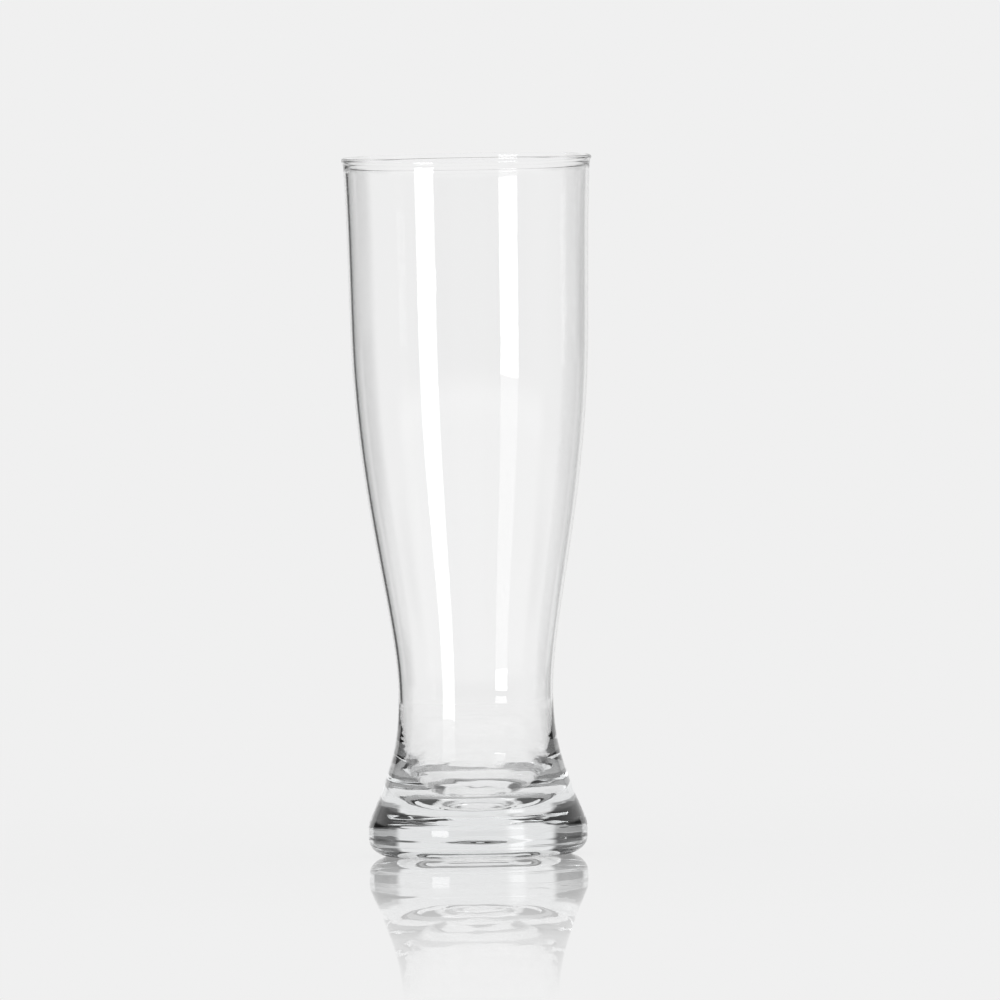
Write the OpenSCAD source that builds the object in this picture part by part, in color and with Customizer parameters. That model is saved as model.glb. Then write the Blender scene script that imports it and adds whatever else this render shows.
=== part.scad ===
// Tall footed beer glass: a thin blown bowl, fused at a fine seam onto a heavy foot that holds its floor.
// The origin is on the table plane at the middle of the foot, and +Z runs up the axis of the glass.

/* [Overall] */
// Height of the glass, from the table to the top of the rim
glass_h = 220.5; // [200:0.5:250]

/* [Rim] */
// Width across the rounded rim bead
rim_d = 79; // [77.5:0.5:86]
// Thickness of the rim bead
bead_t = 1.9; // [1.6:0.1:2.6]
// How far the bead stands out beyond the wall below it
bead_proud = 0.6; // [0.2:0.1:1]
// Thickness of the wall just below the bead
lip_t = 1.2; // [0.9:0.05:1.8]

/* [Bowl] */
// Width across the shoulder, where the flare ends and the upper wall begins
shoulder_d = 75.1; // [68:0.5:78]
// Height of the shoulder above the table
shoulder_z = 165.5; // [150:0.5:180]
// Thickness of the wall at the shoulder
shoulder_t = 1.15; // [0.9:0.05:2.5]
// Width across the waist, the narrowest place of the bowl
waist_d = 48.8; // [42:0.5:56]
// Height of the waist above the table
waist_z = 50.5; // [44:0.5:60]
// Thickness of the wall at the waist
waist_t = 1.1; // [0.9:0.05:2.5]

/* [Inside floor] */
// Thickness of the glass at the middle, between the hollow under the foot and the inside floor
floor_t = 5.2; // [3:0.1:9]
// Width of the round between the flat of the inside floor and the side
floor_round_w = 13; // [6:0.5:16]
// Height of the same round, which reaches up past the seam
floor_round_h = 17; // [11:0.5:20]
// How much smaller in radius the side above the round is than the outside of the waist
side_inset = 1.4; // [0.6:0.1:3]

/* [Foot] */
// Width across the foot, at the upright band around it
foot_d = 69; // [64:0.5:80]
// Height at which the upright band begins to turn in towards the seam
band_top_z = 8.6; // [7:0.1:9.5]
// Radius of the turn from the upright band into the slope above it
turn_r = 8; // [4:0.5:12]
// Lean of the slope that rises from the turn to the seam, measured from upright
slope_angle = 23; // [15:1:28]
// Height of the fused seam, a shallow groove where the bowl sits on the foot
seam_z = 19.4; // [16:0.1:21]
// Width of the round under the foot, from the upright band in to the flat ring
edge_round_w = 7; // [4:0.5:8]
// Height of the same round, up to the upright band
edge_round_h = 5.6; // [3.5:0.1:6.5]
// Width of the flat ring that stands on the table
ring_w = 4; // [2:0.1:6]
// Height of the domed hollow under the foot
punt_h = 6.3; // [2:0.1:8]

/* [Hidden] */
$fn = 144;

// How far the handles of each curve reach, as a share of the height that the curve spans
upper_handle_share = 1 / 3;
flare_top_handle_share = 0.476;
flare_waist_handle_share = 0.22;
skirt_waist_handle_share = 0.5;
skirt_seam_handle_share = 0.3;
side_floor_handle_share = 0.6;
side_waist_handle_share = 0.25;
// Outward lean of the wall, as a share of its height, at the lip and at the shoulder
lip_lean_share = 0.05;
shoulder_lean_share = 0.02;
// How far in the skirt's lower handle lies, as a share of how far the seam stands out past the waist
seam_lean_share = 0.53;
// How far below the middle of the bead the wall meets it, as a share of the bead's radius
bead_root_share = 1.7;
// Angle at which the round of the bead starts on the outside, measured up from level
bead_start_angle = -55;

// How many straight pieces each curve is drawn with
bead_steps = 14;
upper_steps = 7;
flare_steps = 20;
skirt_steps = 12;
side_steps = 6;
floor_steps = 10;
edge_round_steps = 9;
turn_steps = 6;
punt_steps = 8;

bead_r = bead_t / 2;
bead_centre = [rim_d / 2 - bead_r, glass_h - bead_r];
bead_root_z = bead_centre.y - bead_root_share * bead_r;
lip_r = rim_d / 2 - bead_proud;
waist_r = waist_d / 2;
inside_waist_r = waist_r - waist_t;
foot_r = foot_d / 2;
turn_centre = [foot_r - turn_r, band_top_z];
turn_end = turn_centre + turn_r * [cos(slope_angle), sin(slope_angle)];
seam_r = turn_end.x - (seam_z - turn_end.y) * tan(slope_angle);
ring_outer_r = foot_r - edge_round_w;
ring_inner_r = ring_outer_r - ring_w;
// Radius of the round cap that rises from the ring's inside edge to the top of the hollow
punt_cap_r = (ring_inner_r ^ 2 + punt_h ^ 2) / (2 * punt_h);
punt_half_angle = asin(ring_inner_r / punt_cap_r);
floor_z = punt_h + floor_t;
floor_round = [floor_round_w, floor_round_h];
floor_round_centre = [waist_r - side_inset - floor_round_w, floor_z + floor_round_h];
// Angle on the round at which the seam's plane cuts it
seam_cut_angle = asin((seam_z - floor_round_centre.y) / floor_round_h);

// A curve from a to b whose ends run along its two handles
function curve(a, a_handle, b_handle, b, steps) = [
    for (i = [0:steps])
        let (t = i / steps)
        (1 - t) ^ 3 * a + 3 * (1 - t) ^ 2 * t * a_handle + 3 * (1 - t) * t ^ 2 * b_handle + t ^ 3 * b
];

// A stretch of an ellipse around a centre, between two angles
function arc(centre, radii, from, to, steps) = [
    for (i = [0:steps])
        let (angle = from + (to - from) * i / steps)
        centre + [radii.x * cos(angle), radii.y * sin(angle)]
];

// Two lines joined end to end, with the point that they share kept once
function joined(line, next) = concat(line, [for (i = [1:len(next) - 1]) next[i]]);

function reversed(line) = [for (i = [len(line) - 1:-1:0]) line[i]];

// The wall from the lip over the shoulder down to the waist, for the outside or for the inside
function wall_line(lip_r, shoulder_r, waist_r) =
    let (
        lip = [lip_r, bead_root_z],
        shoulder = [shoulder_r, shoulder_z],
        waist = [waist_r, waist_z],
        upper_reach = (bead_root_z - shoulder_z) * upper_handle_share,
        flare_h = shoulder_z - waist_z,
        flare_reach = flare_h * flare_top_handle_share
    )
    joined(
        curve(
            lip,
            lip - upper_reach * [lip_lean_share, 1],
            shoulder + upper_reach * [shoulder_lean_share, 1],
            shoulder,
            upper_steps
        ),
        curve(
            shoulder,
            shoulder - flare_reach * [shoulder_lean_share, 1],
            waist + [0, flare_h * flare_waist_handle_share],
            waist,
            flare_steps
        )
    );

// The outside of the bowl below the waist, which widens down to the seam
function skirt_line() =
    let (
        waist = [waist_r, waist_z],
        seam = [seam_r, seam_z],
        skirt_h = waist_z - seam_z
    )
    curve(
        waist,
        waist - [0, skirt_h * skirt_waist_handle_share],
        seam + [(waist_r - seam_r) * seam_lean_share, skirt_h * skirt_seam_handle_share],
        seam,
        skirt_steps
    );

// The inside of the bowl from the seam's plane up to the waist
function side_line() =
    let (
        foot_end = floor_round_centre + [floor_round_w, 0],
        waist = [inside_waist_r, waist_z],
        side_h = waist_z - foot_end.y
    )
    joined(
        arc(floor_round_centre, floor_round, seam_cut_angle, 0, side_steps),
        curve(
            foot_end,
            foot_end + [0, side_h * side_floor_handle_share],
            waist - [0, side_h * side_waist_handle_share],
            waist,
            side_steps
        )
    );

module bowl() {
    outside = joined(wall_line(lip_r, shoulder_d / 2, waist_r), skirt_line());
    inside = wall_line(lip_r - lip_t, shoulder_d / 2 - shoulder_t, inside_waist_r);
    bead = arc(bead_centre, [bead_r, bead_r], 180, bead_start_angle, bead_steps);
    color([0.80, 0.88, 0.90, 0.5])
        rotate_extrude()
            polygon(concat(outside, joined(side_line(), reversed(inside)), bead));
}

module foot() {
    edge_round = [edge_round_w, edge_round_h];
    outside = concat(
        arc([ring_outer_r, edge_round_h], edge_round, -90, 0, edge_round_steps),
        arc(turn_centre, [turn_r, turn_r], 0, slope_angle, turn_steps),
        [[seam_r, seam_z]]
    );
    inside = arc(floor_round_centre, floor_round, seam_cut_angle, -90, floor_steps);
    hollow = arc([0, punt_h - punt_cap_r], [punt_cap_r, punt_cap_r], 90, 90 - punt_half_angle, punt_steps);
    color([0.74, 0.84, 0.87, 0.6])
        rotate_extrude()
            polygon(concat(outside, inside, [[0, floor_z]], hollow));
}

bowl();
foot();
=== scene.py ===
import math

import bpy
from mathutils import Matrix, Vector, noise


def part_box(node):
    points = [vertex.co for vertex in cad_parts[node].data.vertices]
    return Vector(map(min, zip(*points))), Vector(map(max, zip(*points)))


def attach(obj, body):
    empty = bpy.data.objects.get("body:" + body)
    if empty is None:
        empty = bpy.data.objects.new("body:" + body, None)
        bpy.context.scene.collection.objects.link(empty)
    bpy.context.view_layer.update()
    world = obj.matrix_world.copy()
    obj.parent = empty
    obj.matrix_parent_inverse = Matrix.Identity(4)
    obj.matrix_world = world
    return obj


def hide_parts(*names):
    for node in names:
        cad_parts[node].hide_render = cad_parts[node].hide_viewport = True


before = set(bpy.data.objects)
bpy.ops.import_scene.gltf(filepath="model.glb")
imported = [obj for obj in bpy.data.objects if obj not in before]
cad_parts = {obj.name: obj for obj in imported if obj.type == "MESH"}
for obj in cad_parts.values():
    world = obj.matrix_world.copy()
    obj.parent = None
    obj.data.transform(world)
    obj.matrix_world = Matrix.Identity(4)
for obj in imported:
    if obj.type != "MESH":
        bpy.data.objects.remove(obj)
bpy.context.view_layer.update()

MM = 0.001

# Sizes of the glass: the outside ones come from its two solids, the rest are their driving values
bowl_low, bowl_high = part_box("bowl")
foot_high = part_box("foot")[1]
GLASS_H = bowl_high[2]
RIM_R = bowl_high[0]
FOOT_R = foot_high[0]
SEAM_Z = bowl_low[2]

BEAD_R = 0.95 * MM
LIP_R = 38.9 * MM
LIP_T = 1.2 * MM
SHOULDER_R = 37.55 * MM
SHOULDER_Z = 165.5 * MM
SHOULDER_T = 1.15 * MM
WAIST_R = 24.4 * MM
WAIST_Z = 50.5 * MM
WAIST_T = 1.1 * MM
SIDE_R = 23 * MM
FLOOR_Z = 11.5 * MM
FLOOR_ROUND_W = 13 * MM
FLOOR_ROUND_H = 17 * MM
BAND_TOP_Z = 8.6 * MM
TURN_R = 8 * MM
SLOPE_ANGLE = 23
EDGE_ROUND_H = 5.6 * MM
RING_OUTER_R = 27.5 * MM
RING_INNER_R = 23.5 * MM
PUNT_H = 6.3 * MM

UPPER_HANDLE_SHARE = 1 / 3
FLARE_TOP_HANDLE_SHARE = 0.476
FLARE_WAIST_HANDLE_SHARE = 0.22
SKIRT_WAIST_HANDLE_SHARE = 0.5
SKIRT_SEAM_HANDLE_SHARE = 0.3
SIDE_FLOOR_HANDLE_SHARE = 0.6
SIDE_WAIST_HANDLE_SHARE = 0.25
LIP_LEAN_SHARE = 0.05
SHOULDER_LEAN_SHARE = 0.02
SEAM_LEAN_SHARE = 0.53
BEAD_ROOT_SHARE = 1.7
BEAD_START_ANGLE = -55

# How many straight pieces each curve of the outline is drawn with, and how many turns the mesh has
UPPER_STEPS = 24
FLARE_STEPS = 64
FLOOR_STEPS = 48
SIDE_STEPS = 40
BEAD_STEPS = 28
SKIRT_STEPS = 80
SLOPE_STEPS = 24
TURN_STEPS = 24
BAND_STEPS = 10
UNDERSIDE_STEPS = 32
HOLLOW_STEPS = 24
TURNS = 320

# Waves in the glass of the foot
RIPPLE_HEIGHT = 0.07 * MM
RIPPLE_LENGTH = 2.4 * MM
RIPPLE_TURNS = 2
FINE_RIPPLES = 2
FINE_RIPPLE_PLACE = (7, 3, 0)
RIPPLE_TOP = 52 * MM
RIPPLE_FADE = 10 * MM
RIPPLE_INNER_R = 12 * MM

# Finish of the glass. The scales are waves to the metre along each axis.
GLASS_IOR = 1.52
GLASS_TINT = (0.45, 0.5, 0.52, 1)
TINT_DENSITY = 4.0
FINE_WAVE_HEIGHT = 0.02 * MM
FINE_WAVE_TOP = 56 * MM
FINE_WAVE_FADE = 10 * MM
STREAK_SCALE = (60, 60, 420)
STRAND_SCALE = (70, 70, 6)
STRAND_SHARE = 0.5
WAVE_DETAIL = 2
RING_WEAR = 0.25
RING_WEAR_FROM = 0.05 * MM
RING_WEAR_TO = 0.5 * MM
EDGE_WEAR = 0.12
EDGE_WEAR_FROM = 0.3 * MM
EDGE_WEAR_TOP = 3 * MM
SCUFF_SCALE = (900, 900, 900)
SCUFF_DETAIL = 4
SCUFF_LOW = 0.5
SCUFF_HIGH = 0.7

# The camera stands far off, as for a long lens, and leans a little, as in the photograph
CAMERA_ELEVATION = 2.2
CAMERA_ROLL = -1.03
CAMERA_DISTANCE = 12.0
PHOTO_PIXELS = 1000
MM_PER_PIXEL = 0.3153
GLASS_MIDDLE_PIXEL = (472.4, 505.5)
SENSOR_W = 36
SIGHT_END = 100

# Brightness of the pale background, as a colour renders it
PALE = 0.871
# The studio round the horizon, each ring as stops of azimuth and brightness. Azimuth 0 is straight
# behind the glass, minus is to its left and plus or minus 180 is the camera. The three rings belong to
# what lies below the level of the table, at that level and well above it.
ROOM = 0.82
ROOM_FRONT = 0.7
RING_LOW = [
    (-180, ROOM_FRONT), (-130, ROOM_FRONT), (-105, ROOM), (-73, ROOM), (-66, 0.3), (-47, 0.3), (-40, 0.2),
    (-23, 0.06), (-17, PALE), (25, PALE), (31, 0.4), (45, 0.42), (56, 0.6), (105, ROOM), (130, ROOM_FRONT),
    (180, ROOM_FRONT),
]
RING_LEVEL = [
    (-180, ROOM), (-73, ROOM), (-66, 0.1), (-36, 0.08), (-32, PALE), (-18.5, PALE), (-17, 1.12), (-12, 1.12),
    (-10.5, PALE), (35, PALE), (39, 0.12), (66, 0.12), (73, ROOM), (180, ROOM),
]
RING_HIGH = [
    (-180, ROOM), (-100, ROOM), (-88, 0.05), (-36, 0.05), (-30, PALE), (22, PALE), (28, 0.06), (88, 0.06),
    (100, ROOM), (180, ROOM),
]
ROOM_BRIGHT = 1.1
CEILING = 0.9
# Heights, in degrees above level, between which one part of the studio gives way to the next
LOW_TO_LEVEL = (-1.5, -0.2)
LEVEL_TO_HIGH = (8, 14)
TO_CEILING = (40, 60)
TO_GROUND = (-9, -13)
# The room in front of the glass is bright, from between the two angles of IN_FRONT off straight sideways.
# It leaves out a dark band around DARK_LEVEL, which ends between the two angles of OFF_LEVEL from it.
IN_FRONT = (-5, -15)
DARK_LEVEL = -2
OFF_LEVEL = (5, 9)

# Floor. The glass itself sees only the small round stand near it and the studio beyond. The tones and
# the gloss change with the distance from the glass, in metres. Where the glass sees the floor close to it,
# the floor is darker. This is painted shade in place of the glass's shadow, and the camera doesn't see it
# directly.
FLOOR_SIZE = 2.5
STAND_R = 0.36
STAND_FADE = 0.02
STAND_MIDDLE = (0.10, 0.16, 0)
# Painted shade: the floor as the glass sees it is darker close to the glass, in place of the glass's shadow
NEAR_PAINTED_SHADE_TONE = 0.77
PAINTED_SHADE_END = 0.05
STAND_TONE = 0.86
STAND_TONE_START = 0.11
MATT_SHARE = 0.25
MATT_START = 0.05
MATT_END = 0.5
MIRROR_NEAR = 0.75
MIRROR_START = 0.03
MIRROR_END = 0.9
FLOOR_IOR = 1.45
# Gloss that a floor of this IOR has at the photograph's angle, and its share that the glass sees
GRAZING_GLOSS = 0.8
GLOSS_TO_GLASS = 0.91

# Softbox to the left of the camera, with a faint spill above it. What is seen through the glass shows
# only the part of it above BOX_SEEN_BOTTOM.
BOX_AZIMUTH = 41
BOX_W = 2.0
BOX_TOP = 0.62
BOX_BOTTOM = -3.2
BOX_SEEN_BOTTOM = -0.2
BOX_DISTANCE = 6.0
BOX_RADIANCE = 4.5
SPILL_TOP = 3.5
SPILL_RADIANCE = 1.0


def curve(a, a_handle, b_handle, b, steps):
    """Points of a curve from a to b whose ends run along its two handles."""
    points = []
    ends = (a, a_handle, b_handle, b)
    for i in range(steps + 1):
        t = i / steps
        weights = ((1 - t) ** 3, 3 * (1 - t) ** 2 * t, 3 * (1 - t) * t ** 2, t ** 3)
        points.append(tuple(sum(w * p[k] for w, p in zip(weights, ends)) for k in (0, 1)))
    return points


def arc(centre, radii, start, end, steps):
    """Points of a stretch of an ellipse around a centre, between two angles in degrees."""
    points = []
    for i in range(steps + 1):
        angle = math.radians(start + (end - start) * i / steps)
        points.append((centre[0] + radii[0] * math.cos(angle), centre[1] + radii[1] * math.sin(angle)))
    return points


def line(a, b, steps):
    """Points of a straight line from a to b."""
    return [tuple(p + (q - p) * i / steps for p, q in zip(a, b)) for i in range(steps + 1)]


def wall_line(lip_r, shoulder_r, waist_r):
    """The wall from the lip over the shoulder down to the waist."""
    root_z = GLASS_H - BEAD_R - BEAD_ROOT_SHARE * BEAD_R
    reach = (root_z - SHOULDER_Z) * UPPER_HANDLE_SHARE
    flare_h = SHOULDER_Z - WAIST_Z
    flare_reach = flare_h * FLARE_TOP_HANDLE_SHARE
    upper = curve(
        (lip_r, root_z),
        (lip_r - reach * LIP_LEAN_SHARE, root_z - reach),
        (shoulder_r + reach * SHOULDER_LEAN_SHARE, SHOULDER_Z + reach),
        (shoulder_r, SHOULDER_Z),
        UPPER_STEPS,
    )
    flare = curve(
        (shoulder_r, SHOULDER_Z),
        (shoulder_r - flare_reach * SHOULDER_LEAN_SHARE, SHOULDER_Z - flare_reach),
        (waist_r, WAIST_Z + flare_h * FLARE_WAIST_HANDLE_SHARE),
        (waist_r, WAIST_Z),
        FLARE_STEPS,
    )
    return upper + flare[1:]


def glass_outline():
    """The outline of the glass, from the middle of the inside floor round to the middle of the hollow."""
    inside_waist_r = WAIST_R - WAIST_T
    round_top_z = FLOOR_Z + FLOOR_ROUND_H
    side_h = WAIST_Z - round_top_z
    round_centre = (SIDE_R - FLOOR_ROUND_W, round_top_z)
    floor_round = arc(round_centre, (FLOOR_ROUND_W, FLOOR_ROUND_H), -90, 0, FLOOR_STEPS)
    side = curve(
        (SIDE_R, round_top_z),
        (SIDE_R, round_top_z + side_h * SIDE_FLOOR_HANDLE_SHARE),
        (inside_waist_r, WAIST_Z - side_h * SIDE_WAIST_HANDLE_SHARE),
        (inside_waist_r, WAIST_Z),
        SIDE_STEPS,
    )
    inside = wall_line(LIP_R - LIP_T, SHOULDER_R - SHOULDER_T, inside_waist_r)
    bead_centre = (RIM_R - BEAD_R, GLASS_H - BEAD_R)
    bead = arc(bead_centre, (BEAD_R, BEAD_R), 180, BEAD_START_ANGLE, BEAD_STEPS)
    outside = wall_line(LIP_R, SHOULDER_R, WAIST_R)
    turn = arc((FOOT_R - TURN_R, BAND_TOP_Z), (TURN_R, TURN_R), SLOPE_ANGLE, 0, TURN_STEPS)
    slope_r, slope_z = turn[0]
    seam_r = slope_r - (SEAM_Z - slope_z) * math.tan(math.radians(SLOPE_ANGLE))
    skirt_h = WAIST_Z - SEAM_Z
    skirt = curve(
        (WAIST_R, WAIST_Z),
        (WAIST_R, WAIST_Z - skirt_h * SKIRT_WAIST_HANDLE_SHARE),
        (seam_r - (seam_r - WAIST_R) * SEAM_LEAN_SHARE, SEAM_Z + skirt_h * SKIRT_SEAM_HANDLE_SHARE),
        (seam_r, SEAM_Z),
        SKIRT_STEPS,
    )
    slope = line((seam_r, SEAM_Z), (slope_r, slope_z), SLOPE_STEPS)
    band = line((FOOT_R, BAND_TOP_Z), (FOOT_R, EDGE_ROUND_H), BAND_STEPS)
    edge_round = (FOOT_R - RING_OUTER_R, EDGE_ROUND_H)
    underside = arc((RING_OUTER_R, EDGE_ROUND_H), edge_round, 0, -90, UNDERSIDE_STEPS)
    cap_r = (RING_INNER_R ** 2 + PUNT_H ** 2) / (2 * PUNT_H)
    half_angle = math.degrees(math.asin(RING_INNER_R / cap_r))
    hollow = arc((0, PUNT_H - cap_r), (cap_r, cap_r), 90 - half_angle, 90, HOLLOW_STEPS)
    return (
        [(0, FLOOR_Z)] + floor_round + side[1:] + inside[::-1][1:] + bead
        + outside + skirt[1:] + slope[1:] + turn[1:] + band[1:] + underside[1:] + hollow
    )


def ripple(angle, z):
    """The small waves that hot glass keeps, drawn out around the foot and gone above it."""
    share = min(1, max(0, (RIPPLE_TOP - z) / RIPPLE_FADE)) * min(1, z / RIPPLE_FADE)
    around = Vector((math.cos(angle), math.sin(angle), 0)) * RIPPLE_TURNS
    up = Vector((0, 0, z / RIPPLE_LENGTH))
    wave = noise.noise(around + up)
    fine = noise.noise((around + up) * FINE_RIPPLES + Vector(FINE_RIPPLE_PLACE))
    return RIPPLE_HEIGHT * share * (wave + fine / FINE_RIPPLES)


def lathe(name, outline, turns=TURNS):
    """A closed mesh made by turning an outline that starts and ends on the axis."""
    verts = [(0, 0, outline[0][1]), (0, 0, outline[-1][1])]
    rings = []
    for r, z in outline[1:-1]:
        rings.append(len(verts))
        for k in range(turns):
            angle = 2 * math.pi * k / turns
            wavy_r = r - max(0, ripple(angle, z)) if r > RIPPLE_INNER_R else r
            verts.append((wavy_r * math.cos(angle), wavy_r * math.sin(angle), z))
    faces = []
    for k in range(turns):
        n = (k + 1) % turns
        faces.append((0, rings[0] + k, rings[0] + n))
        faces.append((1, rings[-1] + n, rings[-1] + k))
        for low, high in zip(rings, rings[1:]):
            faces.append((low + k, high + k, high + n, low + n))
    mesh = bpy.data.meshes.new(name)
    mesh.from_pydata(verts, [], faces)
    mesh.update()
    for polygon in mesh.polygons:
        polygon.use_smooth = True
    obj = bpy.data.objects.new(name, mesh)
    bpy.context.scene.collection.objects.link(obj)
    return obj


def new_material(name):
    """A material with an empty node tree and its output."""
    material = bpy.data.materials.new(name)
    material.use_nodes = True
    tree = material.node_tree
    tree.nodes.clear()
    output = tree.nodes.new("ShaderNodeOutputMaterial")
    return material, tree, output


def clear_glass():
    """Clear glass with faint waves, a cool tint where it is thick and fine wear where it stands."""
    material, tree, output = new_material("clear_glass")
    coords = tree.nodes.new("ShaderNodeTexCoord")
    place = coords.outputs["Object"]
    parts = tree.nodes.new("ShaderNodeSeparateXYZ")
    tree.links.new(place, parts.inputs[0])
    height = parts.outputs["Z"]

    scuffs = texture(tree, place, SCUFF_SCALE, SCUFF_DETAIL)
    scuffs = map_range(tree, scuffs, SCUFF_LOW, SCUFF_HIGH)
    ring = map_range(tree, height, RING_WEAR_FROM, RING_WEAR_TO, RING_WEAR, 0)
    edge = map_range(tree, height, EDGE_WEAR_FROM, EDGE_WEAR_TOP, EDGE_WEAR, 0)
    worn = math_node(tree, "ADD", ring, math_node(tree, "MULTIPLY", edge, scuffs))

    strands = texture(tree, place, STRAND_SCALE, WAVE_DETAIL)
    streaks = texture(tree, place, STREAK_SCALE, WAVE_DETAIL)
    low = map_range(tree, height, FINE_WAVE_TOP - FINE_WAVE_FADE, FINE_WAVE_TOP, 1, 0)
    waves = blend(tree, low, math_node(tree, "MULTIPLY", strands, STRAND_SHARE), streaks)
    bump = tree.nodes.new("ShaderNodeBump")
    bump.inputs["Strength"].default_value = 1
    bump.inputs["Distance"].default_value = FINE_WAVE_HEIGHT
    tree.links.new(waves, bump.inputs["Height"])

    shader = tree.nodes.new("ShaderNodeBsdfPrincipled")
    shader.inputs["Base Color"].default_value = grey(1)
    shader.inputs["Transmission Weight"].default_value = 1
    shader.inputs["IOR"].default_value = GLASS_IOR
    tree.links.new(worn, shader.inputs["Roughness"])
    tree.links.new(bump.outputs[0], shader.inputs["Normal"])
    tree.links.new(shader.outputs["BSDF"], output.inputs["Surface"])
    tint = tree.nodes.new("ShaderNodeVolumeAbsorption")
    tint.inputs["Color"].default_value = GLASS_TINT
    tint.inputs["Density"].default_value = TINT_DENSITY
    tree.links.new(tint.outputs[0], output.inputs["Volume"])
    return material


def grey(value):
    return (value, value, value, 1)


def fill_ramp(node, stops, low, high):
    """Sets the stops of a colour ramp, each a place between low and high and a grey."""
    elements = node.color_ramp.elements
    while len(elements) > 1:
        elements.remove(elements[-1])
    elements[0].position = 0
    elements[0].color = grey(stops[0][1])
    for place, value in stops[1:]:
        element = elements.new((place - low) / (high - low))
        element.color = grey(value)


def texture(tree, place, scale, detail):
    """Smooth noise from 0 to 1, with as many waves to the metre along each axis as its scale says."""
    mapping = tree.nodes.new("ShaderNodeMapping")
    mapping.inputs["Scale"].default_value = scale
    tree.links.new(place, mapping.inputs["Vector"])
    node = tree.nodes.new("ShaderNodeTexNoise")
    node.inputs["Scale"].default_value = 1
    node.inputs["Detail"].default_value = detail
    tree.links.new(mapping.outputs[0], node.inputs["Vector"])
    return node.outputs["Fac"]


def map_range(tree, value, low, high, start=0.0, end=1.0, smooth=True):
    """A node output that runs from start to end as the value runs from low to high."""
    node = tree.nodes.new("ShaderNodeMapRange")
    node.interpolation_type = "SMOOTHSTEP" if smooth else "LINEAR"
    node.inputs["From Min"].default_value = low
    node.inputs["From Max"].default_value = high
    node.inputs["To Min"].default_value = start
    node.inputs["To Max"].default_value = end
    tree.links.new(value, node.inputs["Value"])
    return node.outputs["Result"]


def math_node(tree, operation, a, b):
    """A math node's output. Either input is a node output or a number."""
    node = tree.nodes.new("ShaderNodeMath")
    node.operation = operation
    for socket, value in zip(node.inputs, (a, b)):
        if isinstance(value, (int, float)):
            socket.default_value = value
        else:
            tree.links.new(value, socket)
    return node.outputs[0]


def blend(tree, factor, a, b):
    """A mix of two numbers, each a node output or a plain number."""
    node = tree.nodes.new("ShaderNodeMix")
    node.data_type = "FLOAT"
    tree.links.new(factor, node.inputs["Factor"])
    for name, value in (("A", a), ("B", b)):
        if isinstance(value, (int, float)):
            node.inputs[name].default_value = value
        else:
            tree.links.new(value, node.inputs[name])
    return node.outputs["Result"]


def mix_shader(tree, share, a, b):
    """A mix of two shaders, of which the second has the share."""
    node = tree.nodes.new("ShaderNodeMixShader")
    for socket, value in zip(node.inputs, (share, a, b)):
        tree.links.new(value, socket)
    return node.outputs[0]


def ring_of_light(tree, turn, stops):
    """Brightness round the horizon at one height."""
    ramp = tree.nodes.new("ShaderNodeValToRGB")
    fill_ramp(ramp, stops, -180, 180)
    tree.links.new(turn, ramp.inputs["Fac"])
    return ramp.outputs["Color"]


def rise(degrees):
    """Height on the unit sphere of a direction so many degrees above level."""
    return math.sin(math.radians(degrees))


def between(tree, value, angles):
    """A node output that runs from 0 to 1 between two angles, for one part of a direction of length 1."""
    return map_range(tree, value, rise(angles[0]), rise(angles[1]))


def studio_world():
    """A pale backdrop behind the glass, dark flags beside it and a grey room in front of it."""
    world = bpy.data.worlds.new("studio")
    world.use_nodes = True
    bpy.context.scene.world = world
    tree = world.node_tree
    tree.nodes.clear()
    output = tree.nodes.new("ShaderNodeOutputWorld")
    background = tree.nodes.new("ShaderNodeBackground")
    coords = tree.nodes.new("ShaderNodeTexCoord")
    parts = tree.nodes.new("ShaderNodeSeparateXYZ")
    tree.links.new(coords.outputs["Generated"], parts.inputs[0])
    height = parts.outputs["Z"]
    azimuth = math_node(tree, "ARCTAN2", parts.outputs["X"], parts.outputs["Y"])
    turn = map_range(tree, azimuth, -math.pi, math.pi, smooth=False)

    above = between(tree, height, LOW_TO_LEVEL)
    lower = blend(tree, above, ring_of_light(tree, turn, RING_LOW), ring_of_light(tree, turn, RING_LEVEL))
    high = between(tree, height, LEVEL_TO_HIGH)
    path = tree.nodes.new("ShaderNodeLightPath")
    upper = blend(tree, path.outputs["Is Transmission Ray"], PALE, ring_of_light(tree, turn, RING_HIGH))
    around = blend(tree, high, lower, upper)
    in_front = between(tree, parts.outputs["Y"], IN_FRONT)
    from_level = math_node(tree, "SUBTRACT", height, rise(DARK_LEVEL))
    off_level = between(tree, math_node(tree, "ABSOLUTE", from_level, 0), OFF_LEVEL)
    lifted = blend(tree, math_node(tree, "MULTIPLY", in_front, off_level), around, ROOM_BRIGHT)
    light = blend(tree, between(tree, height, TO_CEILING), lifted, CEILING)
    light = blend(tree, between(tree, height, TO_GROUND), light, PALE)

    seen = blend(tree, path.outputs["Is Camera Ray"], light, PALE)
    tree.links.new(seen, background.inputs["Color"])
    tree.links.new(background.outputs[0], output.inputs["Surface"])


def distance(tree, place, point):
    """How far a place lies from a point, as a node output."""
    node = tree.nodes.new("ShaderNodeVectorMath")
    node.operation = "DISTANCE"
    node.inputs[1].default_value = point
    tree.links.new(place, node.inputs[0])
    return node.outputs["Value"]


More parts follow.
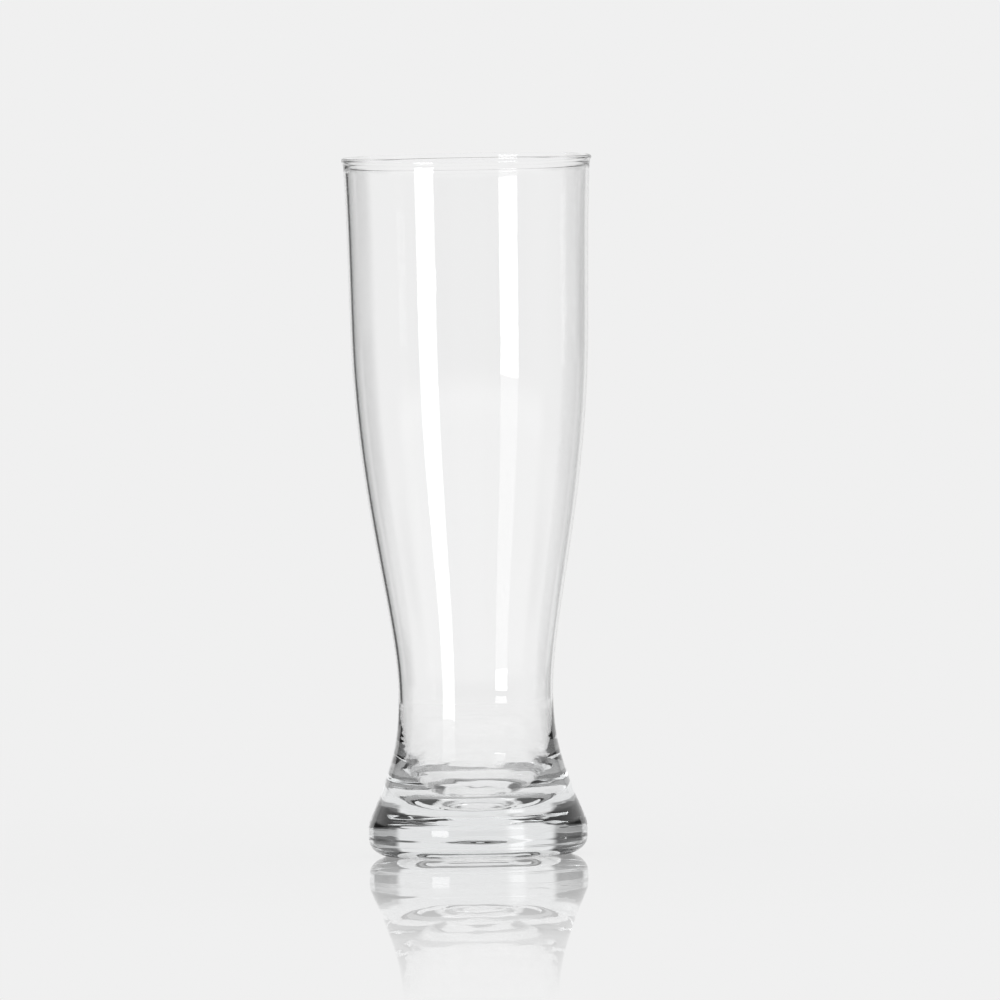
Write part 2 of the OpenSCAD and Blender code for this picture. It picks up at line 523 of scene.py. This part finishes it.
def pale_floor():
    """A pale floor with a gloss that fades away from the glass. Close to the glass it is darker to all rays
    but the camera's, a painted shade. Only the camera sees past the stand.
    """
    material, tree, output = new_material("pale_floor")
    place = tree.nodes.new("ShaderNodeTexCoord").outputs["Object"]
    seen = tree.nodes.new("ShaderNodeLightPath").outputs["Is Camera Ray"]
    away = distance(tree, place, (0, 0, 0))

    glow = tree.nodes.new("ShaderNodeEmission")
    # Painted shade: to all rays but the camera's the floor glows darker close to the glass, in place of its
    # shadow
    stand_tone_and_painted_shade = map_range(tree, away, PAINTED_SHADE_END, STAND_TONE_START, NEAR_PAINTED_SHADE_TONE, STAND_TONE)
    tree.links.new(blend(tree, seen, stand_tone_and_painted_shade, PALE), glow.inputs["Color"])
    matt = tree.nodes.new("ShaderNodeBsdfDiffuse")
    matt.inputs["Color"].default_value = grey(PALE)
    matt_share = map_range(tree, away, MATT_START, MATT_END, MATT_SHARE, 0)
    body = mix_shader(tree, matt_share, glow.outputs[0], matt.outputs[0])

    mirror = tree.nodes.new("ShaderNodeBsdfGlossy")
    mirror.inputs["Roughness"].default_value = 0
    mirror.inputs["Color"].default_value = grey(1)
    gloss = tree.nodes.new("ShaderNodeFresnel")
    gloss.inputs["IOR"].default_value = FLOOR_IOR
    grazing = math_node(tree, "MINIMUM", math_node(tree, "DIVIDE", gloss.outputs[0], GRAZING_GLOSS), 1)
    mirror_share = map_range(tree, away, MIRROR_START, MIRROR_END, MIRROR_NEAR, 0, smooth=False)
    mirror_share = math_node(tree, "MULTIPLY", mirror_share, blend(tree, seen, GLOSS_TO_GLASS, grazing))
    glossy = mix_shader(tree, mirror_share, body, mirror.outputs[0])

    clear = tree.nodes.new("ShaderNodeBsdfTransparent")
    off_stand = distance(tree, place, STAND_MIDDLE)
    beyond = map_range(tree, off_stand, STAND_R - STAND_FADE, STAND_R + STAND_FADE)
    hidden = math_node(tree, "MULTIPLY", beyond, math_node(tree, "SUBTRACT", 1, seen))
    tree.links.new(mix_shader(tree, hidden, glossy, clear.outputs[0]), output.inputs["Surface"])
    return material


def floor():
    """The table plane under the glass, which is no part of it."""
    bpy.ops.mesh.primitive_plane_add(size=FLOOR_SIZE, location=(0, 0, 0))
    plane = bpy.context.object
    plane.name = "floor"
    plane.data.materials.append(pale_floor())


def softbox(name, lit, bottom, top, radiance):
    """A tall soft light between two heights that lights one object and that no camera sees."""
    data = bpy.data.lights.new(name, "AREA")
    data.shape = "RECTANGLE"
    data.size = BOX_W
    data.size_y = top - bottom
    data.energy = radiance * math.pi * BOX_W * (top - bottom)
    lamp = bpy.data.objects.new(name, data)
    lamp.visible_camera = False
    receivers = bpy.data.collections.new(name + "_receivers")
    receivers.objects.link(lit)
    lamp.light_linking.receiver_collection = receivers
    bpy.context.scene.collection.objects.link(lamp)
    angle = math.radians(BOX_AZIMUTH)
    middle = (top + bottom) / 2
    lamp.location = (-BOX_DISTANCE * math.sin(angle), -BOX_DISTANCE * math.cos(angle), middle)
    towards = Vector((0, 0, middle)) - lamp.location
    lamp.rotation_euler = towards.to_track_quat("-Z", "Y").to_euler()
    return lamp


def camera():
    """A far camera at the photograph's angle, which frames the glass as the photograph does."""
    data = bpy.data.cameras.new("camera")
    obj = bpy.data.objects.new("camera", data)
    bpy.context.scene.collection.objects.link(obj)
    bpy.context.scene.camera = obj
    elevation = math.radians(CAMERA_ELEVATION)
    back = Vector((0, -math.cos(elevation), math.sin(elevation)))
    place = Vector((0, 0, GLASS_H / 2)) + back * CAMERA_DISTANCE
    turn = (-back).to_track_quat("-Z", "Y").to_matrix().to_4x4()
    obj.matrix_world = Matrix.Translation(place) @ turn @ Matrix.Rotation(math.radians(CAMERA_ROLL), 4, "Z")
    data.sensor_width = SENSOR_W
    data.lens = SENSOR_W * CAMERA_DISTANCE / (PHOTO_PIXELS * MM_PER_PIXEL * MM)
    data.shift_x = (PHOTO_PIXELS / 2 - GLASS_MIDDLE_PIXEL[0]) / PHOTO_PIXELS
    data.shift_y = -(PHOTO_PIXELS / 2 - GLASS_MIDDLE_PIXEL[1]) / PHOTO_PIXELS
    data.clip_end = SIGHT_END


def main():
    glass = lathe("glass", glass_outline())
    glass.data.materials.append(clear_glass())
    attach(glass, "root")
    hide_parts("bowl", "foot")
    studio_world()
    floor()
    low_box = softbox("softbox_low", glass, BOX_BOTTOM, BOX_SEEN_BOTTOM, BOX_RADIANCE)
    low_box.visible_transmission = False
    softbox("softbox", glass, BOX_SEEN_BOTTOM, BOX_TOP, BOX_RADIANCE)
    softbox("softbox_spill", glass, BOX_TOP, SPILL_TOP, SPILL_RADIANCE)
    camera()
    bpy.context.scene.view_settings.view_transform = "Standard"


main()
